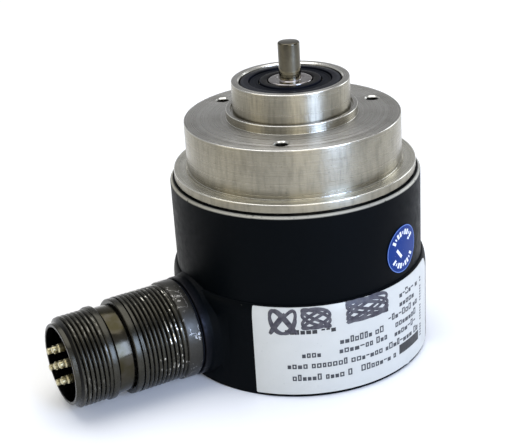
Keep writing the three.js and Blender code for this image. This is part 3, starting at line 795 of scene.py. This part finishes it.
def make_bearing_seal(material):
    """A rubber seal with a stepped outer bead, a shallow dish and a thin lip at the inner ring."""
    outline = [
        (8.75, 77.7, 0.08), (11.2, 77.7, 0.08), (11.2, 78.2, 0.12), (10.75, 78.2, 0.1), (10.55, 78.02, 0.06),
        (9.45, 78.02, 0.06), (9.2, 78.2, 0.08), (8.75, 78.2, 0.12),
    ]
    piece = revolve("front_seal_ring", outline, FINE)
    finish(piece, "stator", "black_rubber", material, "front_bearing_seal")


# ------------ rotor


def make_shaft(material):
    outline = [
        (0, 37), (4, 37, 0.4), (4, 49.2), (6, 49.2, 0.3), (6, 51.7), (5.3, 51.7), (5.3, 53), (6, 53),
        (6, 61.6), (7.2, 61.6, 0.2), (7.2, 70.2, 0.2), (6, 70.2), (6, SHAFT_SHOULDER, 0.35),
        (4.1, SHAFT_SHOULDER, 0.05), (3.95, 78.5, 0.05), (3.25, 78.5, 0.1), (3, 78.75, 0.1),
        (3, 89, 0.45), (0, 89),
    ]
    piece = revolve("shaft_body", outline, MEDIUM)
    finish(piece, "rotor", "polished_steel", material, "shaft")


def make_disc(materials):
    disc = [(6.3, 46.2, 0.05), (21.2, 46.2, 0.1), (21.2, 47.2, 0.1), (6.3, 47.2, 0.05)]
    finish(revolve("code_disc_glass", disc, FINE), "rotor", "clear_glass", materials["code"], "code_disc")
    clamp = [(6.3, 47.5, 0.1), (9.3, 47.5, 0.1), (9.3, 48.6, 0.3), (6.3, 48.6, 0.2)]
    finish(revolve("disc_clamp", clamp, FINE), "rotor", "brass_turned", materials["brass"], "disc_clamp_ring")
    hub = [(4.25, 38.5, 0.3), (7.6, 38.5, 0.3), (7.6, 44, 0.2), (9.5, 44, 0.2), (9.5, 45.9, 0.1), (6, 45.9),
           (6, 48.2, 0.2), (4.25, 48.2, 0.2)]
    piece = revolve("disc_hub_body", hub, MEDIUM)
    side = Matrix.Translation((0, 0, 41.2 * MM)) @ Matrix.Rotation(math.radians(90), 4, "Y")
    drill(piece, [(0, 0), (1.3, 0), (1.3, 9), (0, 9)], 32, side)
    finish(piece, "rotor", "machined_aluminium", materials["aluminium"], "disc_hub")
    repaint("hub_set_screw", materials["steel"])
    repaint("shaft_circlip", materials["steel"])


# ------------ connector


def make_connector_adapter(material):
    low, high = 43.8, 56.4
    ridge = [(REAR_CREST, s) for s in thread_steps(low + 0.2, high - 0.1, THREAD_PITCH)]
    outline = [
        (8.2, 30.5), (9.6, 30.5, 0.3), (9.6, 39.3), (13.95, 39.3, 0.3), (13.95, 43.4, 0.35),
        (12.85, 43.75, 0.15), *ridge, (12.8, 56.3), (12.8, 56.45), (13.4, 56.65, 0.15), (13.4, 58.4, 0.35),
        (11.7, 58.4, 0.15), (11.7, 45.2), (8.2, 45.2),
    ]
    ridges = thread(REAR_CREST, THREAD_DEPTH, THREAD_PITCH, low, high)
    piece = revolve("adapter_body", outline, 144, ridges, connector_axis())
    finish(piece, "stator", "olive_plating", material, "connector_adapter")


def make_connector_shell(material):
    low, high = 65.2, 74.6
    ridge = [(FRONT_CREST, s) for s in thread_steps(low + 0.2, 73.2, THREAD_PITCH)]
    outline = [
        (9.6, 45.6), (11.4, 45.6, 0.2), (11.4, 58.7), (12.1, 58.7, 0.2), (12.1, 62.9, 0.1), (11.7, 63, 0.05),
        (11.7, 63.3, 0.05), (13, 63.4, 0.3), (13, 65.1, 0.3), (11.95, 65.3, 0.1), *ridge,
        (11.35, 73.9, 0.2), (11.3, 75.2, 0.25), (10.4, 75.2, 0.2), (10.4, 62), (9.6, 62),
    ]
    ridges = thread(FRONT_CREST, THREAD_DEPTH, THREAD_PITCH, low, high)
    piece = revolve("receptacle_body", outline, 144, ridges, connector_axis())
    finish(piece, "stator", "olive_plating", material, "connector_shell")


def make_contacts(plastic, gold):
    axis = connector_axis()
    outline = [(0, 50), (9.3, 50), (9.3, 62.3), (10.1, 62.3), (10.1, 66.5, 0.25), (0, 66.5)]
    insert = revolve("insert_body", outline, MEDIUM, matrix=axis)
    hole = [(0, 49), (1.42, 49), (1.42, 66.1), (1.75, 66.6), (1.75, 68), (0, 68)]
    pin = [(0, 47), (1.2, 47, 0.2), (1.2, 75.1, 0.2), (0.88, 75.4, 0.1), (0.88, 77, 0.35), (0, 77)]
    for i, at in enumerate(CONTACTS):
        place = axis @ Matrix.Translation(at * MM)
        drill(insert, hole, 32, place)
        piece = revolve(f"contact_{i + 1}_pin", pin, 32, matrix=place, steps=6)
        finish(piece, "stator", "gold_contact", gold, f"contact_{i + 1}")
    finish(insert, "stator", "black_plastic", plastic, "connector_insert")


def make_gaskets(rubber):
    gasket = [(10.2, 38.75, 0.1), (13.5, 38.75, 0.1), (13.5, 39.1, 0.1), (10.2, 39.1, 0.1)]
    piece = revolve("side_gasket", gasket, MEDIUM, matrix=connector_axis())
    finish(piece, "stator", "black_rubber", rubber, "connector_gasket")
    wire = [(32.3 + dx, 47 + dz) for dx, dz in circle(0.55, 12)]
    finish(revolve("spigot_ring", wire, FINE), "stator", "black_rubber", rubber, "flange_o_ring")


# ------------ label and inspection seal

LABEL_LEFT, LABEL_RIGHT = -113.3, -17.0
LABEL_LOW, LABEL_HIGH = 1.0, 27.1
LABEL_GAP, LABEL_THICK = 0.1, 0.14
CREASE_AZIMUTH, CREASE_HIGH = -40, 2.6
LOOSE_AZIMUTH, LOOSE_HEIGHT = -22, 24
DEGREES_PER_MM = 360 / (TURN * REAR_RADIUS)


def label_point(azimuth, z, lift=0.0):
    """A point on the label, with its small crease near the base and its corner that has come unstuck."""
    near = math.exp(-((azimuth - CREASE_AZIMUTH) / 0.9) ** 2)
    crease = 0.3 * near * max(0, 1 - (z - LABEL_LOW) / CREASE_HIGH)
    corner = 0.0
    if azimuth > LOOSE_AZIMUTH and z > LOOSE_HEIGHT:
        corner = 0.12 * min((azimuth - LOOSE_AZIMUTH) * (z - LOOSE_HEIGHT) / 8, 2.0)
    return polar(housing_radius(z) + LABEL_GAP + crease + corner + lift, azimuth, z)


def raised(bm, surface, outline, low, high):
    """A thin closed slab over an outline of (azimuth, z) points on a curved surface."""
    slab(bm, *([surface(a, z, lift) * MM for a, z in outline] for lift in (low, high)))


def ribbon(bm, line, width, low, high):
    """A closed strip of even width along (azimuth, z) points on the label, with blunt rounded ends."""
    sides = []
    last = len(line) - 1
    for i, (a, z) in enumerate(line):
        before, after = line[max(i - 1, 0)], line[min(i + 1, last)]
        along = Vector(((after[0] - before[0]) / DEGREES_PER_MM, after[1] - before[1])).normalized()
        end = min(i, last - i)
        half = width / 2 * (1 if end > 1 else (0.55, 0.85)[end])
        du, dv = -along.y * half * DEGREES_PER_MM, along.x * half
        corners = [(a + du, z + dv), (a - du, z - dv)]
        sides.append([bm.verts.new(label_point(*c, lift) * MM) for lift in (low, high) for c in corners])
    for (a0, b0, c0, d0), (a1, b1, c1, d1) in zip(sides, sides[1:]):
        bm.faces.new((a0, a1, b1, b0))
        bm.faces.new((c0, d0, d1, c1))
        bm.faces.new((a0, c0, c1, a1))
        bm.faces.new((b0, b1, d1, d0))
    for a, b, c, d in (sides[0], sides[-1]):
        bm.faces.new((a, b, d, c))


def make_label_sheet(material):
    bm = bmesh.new()
    corner = 0.3
    columns, rows = 110, 24
    width = (LABEL_RIGHT - LABEL_LEFT) / DEGREES_PER_MM
    near_edge = [corner * (1 - math.cos(TURN / 4 * k / 5)) for k in range(6)]
    middle = [corner + (width - 2 * corner) * k / columns for k in range(1, columns)]
    across = near_edge + middle + [width - d for d in reversed(near_edge)]
    grid = []
    for u in across:
        inset = max(corner - u, corner - (width - u), 0)
        cut = corner - math.sqrt(max(corner ** 2 - inset ** 2, 0))
        low, high = LABEL_LOW + cut, LABEL_HIGH - cut
        column = []
        for k in range(rows + 1):
            azimuth, z = LABEL_LEFT + u * DEGREES_PER_MM, low + (high - low) * k / rows
            column.append([bm.verts.new(label_point(azimuth, z, lift) * MM) for lift in (0, LABEL_THICK)])
        grid.append(column)
    for a, b in zip(grid, grid[1:]):
        for k in range(rows):
            for side in (0, 1):
                bm.faces.new((a[k][side], b[k][side], b[k + 1][side], a[k + 1][side]))
        for k in (0, rows):
            bm.faces.new((a[k][0], b[k][0], b[k][1], a[k][1]))
    for column in (grid[0], grid[-1]):
        for k in range(rows):
            bm.faces.new((column[k][0], column[k + 1][0], column[k + 1][1], column[k][1]))
    finish(mesh_object("label_sheet", bm), "stator", "label_film", material, "label")


PRINT_LIFT = (0.1, 0.165)
PRINT_ROWS = [  # left and right azimuth, height of the row's middle
    (-97.3, -72.0, 6.2), (-67.3, -47.2, 6.4), (-99.2, -30.4, 9.9), (-92.9, -84.5, 13.2), (-77.0, -52.2, 13.4),
    (-49.0, -31.2, 12.9), (-76.6, -56.1, 16.2), (-48.4, -31.2, 15.6), (-52.6, -31.2, 18.4),
    (-45.5, -31.2, 21.2), (-45.5, -31.2, 23.9),
]
BOLD_ROW = (-99.5, -78.6, 20.4)
MARK_HEIGHT = 1.95


def placeholder(bm, left, middle, width, stroke, kind):
    """A mark that stands for a printed sign and spells nothing: frames, blocks and bars."""
    right = left + width * DEGREES_PER_MM
    line = stroke * DEGREES_PER_MM
    low, high = middle - MARK_HEIGHT / 2, middle + MARK_HEIGHT / 2
    if kind == "block":
        high -= MARK_HEIGHT * 0.42
        bars = [(left, right, low, high)]
    elif kind == "dash":
        bars = [(left, right, middle - stroke / 2, middle + stroke / 2)]
    else:
        if kind == "low_frame":
            high -= MARK_HEIGHT * 0.28
        inside = (left + line, right - line)
        bars = [(left, inside[0], low, high), (inside[1], right, low, high),
                (*inside, low, low + stroke), (*inside, high - stroke, high)]
    for a0, a1, z0, z1 in bars:
        raised(bm, label_point, [(a0, z0), (a1, z0), (a1, z1), (a0, z1)], *PRINT_LIFT)


def print_row(bm, draw, left, right, middle, stroke=0.38):
    azimuth = left
    until_gap = draw.randint(4, 7)
    while azimuth < right - 1.2:
        kind = draw.choice(("frame", "low_frame", "low_frame", "block", "block", "dash"))
        width = draw.uniform(0.95, 1.35)
        placeholder(bm, azimuth, middle, width, stroke, kind)
        azimuth += (width + 0.32) * DEGREES_PER_MM
        until_gap -= 1
        if not until_gap:
            azimuth += 0.8 * DEGREES_PER_MM
            until_gap = draw.randint(4, 8)


def make_label_print(grey, black):
    draw = random.Random(7)
    bm = bmesh.new()
    for row in PRINT_ROWS:
        print_row(bm, draw, *row)
    for k in range(22):  # a column of small marks near the right edge
        if k % 7 == 5:
            continue
        z = 5.8 + k * 0.86
        raised(bm, label_point, [(-27.8, z), (-26.4, z), (-26.4, z + 0.5), (-27.8, z + 0.5)], *PRINT_LIFT)
    finish(mesh_object("label_print", bm), "stator", "label_film", grey)

    bm = bmesh.new()
    print_row(bm, draw, *BOLD_ROW, stroke=0.5)
    azimuths = [-46.0 + 16.3 * k / 8 for k in range(9)]
    for a0, a1 in zip(azimuths, azimuths[1:]):
        raised(bm, label_point, [(a0, 5.5), (a1, 5.5), (a1, 8.4), (a0, 8.4)], *PRINT_LIFT)
    finish(mesh_object("label_bold_print", bm), "stator", "label_film", black)


MARKER_WIDTH, MARKER_LIFT = 0.85, (0.1, 0.19)
SCRIBBLES = [  # middle azimuth and height, half width in degrees, half height, swings across and up
    (-100.3, 23.0, 5.4, 3.3, 3, 4), (-86.3, 23.8, 5.8, 2.7, 4, 3), (-63.0, 24.0, 10.0, 2.8, 5, 4),
]


def scribble(azimuth, middle, wide, tall, across, up):
    """A knot of marker ink, as when a pen is tried out."""
    steps = 120
    turns = [TURN * 0.93 * k / steps + 0.5 for k in range(steps + 1)]
    return [(azimuth + wide * math.sin(across * t), middle + tall * math.sin(up * t + 0.7)) for t in turns]


def make_marker_strokes(material):
    bm = bmesh.new()
    for stroke in SCRIBBLES:
        ribbon(bm, scribble(*stroke), MARKER_WIDTH, *MARKER_LIFT)
    finish(mesh_object("label_marker", bm), "stator", "label_film", material)


SEAL_AZIMUTH, SEAL_HEIGHT, SEAL_RADIUS = -39.4, 35.9, 6.75
SEAL_GAP, SEAL_THICK = 0.13, 0.12
SEAL_PRINT_LIFT = (0.08, 0.15)


def seal_point(across, up, lift):
    azimuth = SEAL_AZIMUTH + across * 360 / (TURN * FRONT_RADIUS)
    z = SEAL_HEIGHT + up
    return polar(housing_radius(z) + SEAL_GAP + lift, azimuth, z)


def disc_on_housing(bm, radius, low, high, rings, inner=0.0):
    """A closed round or ring-shaped sheet that follows the housing."""
    sides = 72
    layers = []
    for lift in (low, high):
        layer = []
        for i in range(rings + 1):
            r = inner + (radius - inner) * i / rings
            if r == 0:
                layer.append([bm.verts.new(seal_point(0, 0, lift) * MM)] * sides)
                continue
            layer.append([bm.verts.new(seal_point(*at, lift) * MM) for at in circle(r, sides)])
        layers.append(layer)
    for layer in layers:
        for a, b in zip(layer, layer[1:]):
            for k in range(sides):
                n = (k + 1) % sides
                loop = (b[k], b[n], a[k]) if a[k] is a[n] else (a[k], b[k], b[n], a[n])
                bm.faces.new(loop)
    for ring in (0, rings) if inner else (rings,):
        walls(bm, layers[0][ring], layers[1][ring])


def oblong(middle, along, across):
    """The corners of a rectangle, from its middle and its two half sides."""
    return [middle + along * a + across * b for a, b in ((-1, -1), (1, -1), (1, 1), (-1, 1))]


def make_seal(materials):
    bm = bmesh.new()
    disc_on_housing(bm, SEAL_RADIUS, 0, SEAL_THICK, rings=16)
    disc = mesh_object("inspection_seal_disc", bm)
    finish(disc, "stator", "blue_film", materials["disc"], "inspection_seal")

    bm = bmesh.new()
    disc_on_housing(bm, SEAL_RADIUS - 0.05, *SEAL_PRINT_LIFT, rings=1, inner=SEAL_RADIUS - 0.28)
    finish(mesh_object("inspection_seal_edge", bm), "stator", "blue_film", materials["edge"])

    bm = bmesh.new()
    outlines = []
    for first in (35, 215):
        for k in range(9):
            turn = math.radians(first + 110 * k / 8)
            outward = Vector((math.cos(turn), math.sin(turn)))
            size = 0.55 if k % 3 == 1 else 1
            outlines.append(oblong(outward * 4.75, outward * 0.75 * size, outward.orthogonal() * 0.38 * size))
    tick = [Vector(point) for point in ((-2.6, 0.2), (-1.0, -1.8), (2.7, 2.0))]
    for a, b in zip(tick, tick[1:]):
        along = (b - a).normalized() * 0.42
        outlines.append(oblong((a + b) / 2, (b - a) / 2 + along, -along.orthogonal()))
    for outline in outlines:
        raised(bm, seal_point, outline, *SEAL_PRINT_LIFT)
    finish(mesh_object("inspection_seal_marks", bm), "stator", "blue_film", materials["marks"])


# ------------ electronics


def rounded_box(name, low, high, width=0.25):
    bm = bmesh.new()
    bmesh.ops.create_cube(bm, size=1)
    for vert in bm.verts:
        vert.co = Vector((low[i] + (high[i] - low[i]) * (vert.co[i] + 0.5)) * MM for i in range(3))
    return bevel(mesh_object(name, bm), width)


def corners_of(node):
    low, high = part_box(node)
    return low / MM, high / MM


def make_electronics(materials):
    outline = circle(26.8, FINE)
    bm = bmesh.new()
    prism_into(bm, outline, BOARD_LOW, BOARD_HIGH)
    board = mesh_object("main_board_laminate", bm)
    hole = [(0, 30), (1.5, 30), (1.5, 34), (0, 34)]
    for i, at in enumerate(STANDOFFS):
        place = Matrix.Translation(at * MM)
        drill(board, hole, 32, place)
        post = [(0, 29.5), (1.2, 29.5, 0.2), (1.2, 32.9), (2.3, 32.9, 0.2), (2.3, 53.6, 0.2), (0, 53.6)]
        piece = revolve(f"standoff_{i + 1}", post, 6, matrix=place)
        finish(piece, "stator", "brass_turned", materials["brass"], f"board_standoff_{i + 1}")
    finish(board, "stator", "board_laminate", materials["board"], "main_board")
    boxes = [
        ("sensor_board", "board", "board_laminate"), ("board_header", "plastic", "black_plastic"),
        ("light_source", "plastic", "black_plastic"), ("scanning_mask", "glass", "clear_glass"),
    ]
    for node, key, slot in boxes:
        low, high = corners_of(node)
        finish(rounded_box(f"{node}_body", low, high), "stator", slot, materials[key], node)
    make_processor(materials)
    repaint("sensor_bracket", materials["aluminium"])
    repaint("lead_bundle", materials["sleeve"])


def make_processor(materials):
    """A square chip with a row of bent legs on each side, under the main board."""
    low, high = corners_of("processor_chip")
    middle = (low + high) / 2
    body = rounded_box("processor_body", low + Vector((1, 1, 0)), high - Vector((1, 1, 0)), 0.2)
    bm = bmesh.new()
    bm.from_mesh(body.data)
    span = (high.x - low.x) / 2
    place = Matrix.Translation(Vector((middle.x, middle.y, 0)) * MM)
    for side in range(4):
        turn = place @ Matrix.Rotation(TURN / 4 * side, 4, "Z")
        for k in range(11):
            y = -4 + 0.8 * k
            leg = [(span - 1.0, y - 0.15), (span, y - 0.15), (span, y + 0.15), (span - 1.0, y + 0.15)]
            prism_into(bm, leg, high.z - 0.3, high.z, turn)
    bm.to_mesh(body.data)
    bm.free()
    finish(body, "stator", "black_plastic", materials["plastic"], "processor_chip")


def board_laminate(name):
    """Solder mask over copper tracks on a square grid."""
    material, g = new_material(name)
    place = g.position()[0]
    cells = g.node("ShaderNodeTexVoronoi", {"Vector": place, "Scale": 0.55}, distance="CHEBYCHEV")
    tracks = g.between(cells.outputs["Distance"], 0.3, 0.34)
    g.set("Base Color", g.mix(tracks, rgb(0.008, 0.09, 0.03), rgb(0.02, 0.17, 0.05)))
    g.set("Roughness", g.between(g.noise(place, 2, 2), 0.3, 0.7, 0.3, 0.42))
    g.set("Normal", g.bump(tracks, 0.03 * MM))
    return material


def code_glass(name):
    """Glass with a track of fine chrome lines near the rim."""
    material, g = new_material(name)
    place, x, y, _, radius = g.position()
    turn = g.math("ARCTAN2", y, x)
    lines = g.between(g.math("SINE", g.mul(turn, 360)), -0.1, 0.1)
    track = g.mul(g.between(radius, 17.9, 18), g.between(radius, 20.5, 20.4))
    chrome = g.mul(lines, track)
    g.set("Base Color", g.mix(chrome, rgb(0.85, 0.92, 0.9), rgb(0.25, 0.25, 0.26)))
    g.set("Metallic", chrome)
    g.set("Roughness", g.between(g.noise(place, 0.8, 2), 0.3, 0.7, 0.02, 0.08))
    g.set("Transmission Weight", 0.8)
    return material


# ------------ the whole encoder


def make_encoder():
    aluminium = turned_metal("machined_aluminium", rgb(0.52, 0.51, 0.49), rgb(0.33, 0.305, 0.24))
    steel = plain_metal("polished_steel", rgb(0.42, 0.415, 0.4), 0.26)
    race = bearing_steel("bearing_steel")
    paint = worn_paint("satin_black")
    olive = olive_plating("olive_plating")
    rubber = plain_plastic("black_rubber", rgb(0.002, 0.003, 0.006), 0.6, 0.06)
    plastic = plain_plastic("black_plastic", rgb(0.008, 0.008, 0.009), 0.5)
    nylon = plain_plastic("nylon", rgb(0.42, 0.4, 0.32), 0.5)
    gold = plain_metal("pale_gold", rgb(0.5, 0.45, 0.28), 0.3)
    brass = plain_metal("turned_brass", rgb(0.72, 0.55, 0.25), 0.3)

    make_flange(aluminium)
    make_housing(paint)
    make_rear_cover(paint, steel)
    bearing_materials = {"race": race, "steel": steel, "nylon": nylon}
    make_bearing("front", FRONT_BEARING, bearing_materials)
    make_bearing("rear", REAR_BEARING, bearing_materials)
    make_bearing_seal(rubber)
    repaint("wave_spring", steel)
    make_shaft(shaft_steel("ground_steel"))
    make_disc({"code": code_glass("code_glass"), "brass": brass, "aluminium": aluminium, "steel": steel})
    make_connector_adapter(olive)
    make_connector_shell(olive)
    make_contacts(plastic, gold)
    make_gaskets(rubber)
    make_electronics({
        "board": board_laminate("solder_mask"), "brass": brass, "plastic": plastic, "aluminium": aluminium,
        "glass": printed_film("frosted_glass", rgb(0.7, 0.78, 0.8), 0.2),
        "sleeve": plain_plastic("lead_sleeve", rgb(0.05, 0.05, 0.055), 0.55),
    })
    make_label_sheet(printed_film("label_stock", rgb(0.5, 0.5, 0.465)))
    grey = ink("print_grey", rgb(0.014, 0.016, 0.022), 0.12)
    make_label_print(grey, ink("print_black", rgb(0.006, 0.006, 0.008), 0.03))
    make_marker_strokes(ink("marker", rgb(0.012, 0.009, 0.02), 0.22))
    make_seal({
        "disc": printed_film("seal_blue", rgb(0.001, 0.024, 0.15), 0.34, 0.08),
        "edge": ink("seal_edge", rgb(0.06, 0.14, 0.4), 0.1),
        "marks": ink("seal_marks", rgb(0.66, 0.68, 0.72), 0.1),
    })


make_camera()
make_studio()
make_encoder()
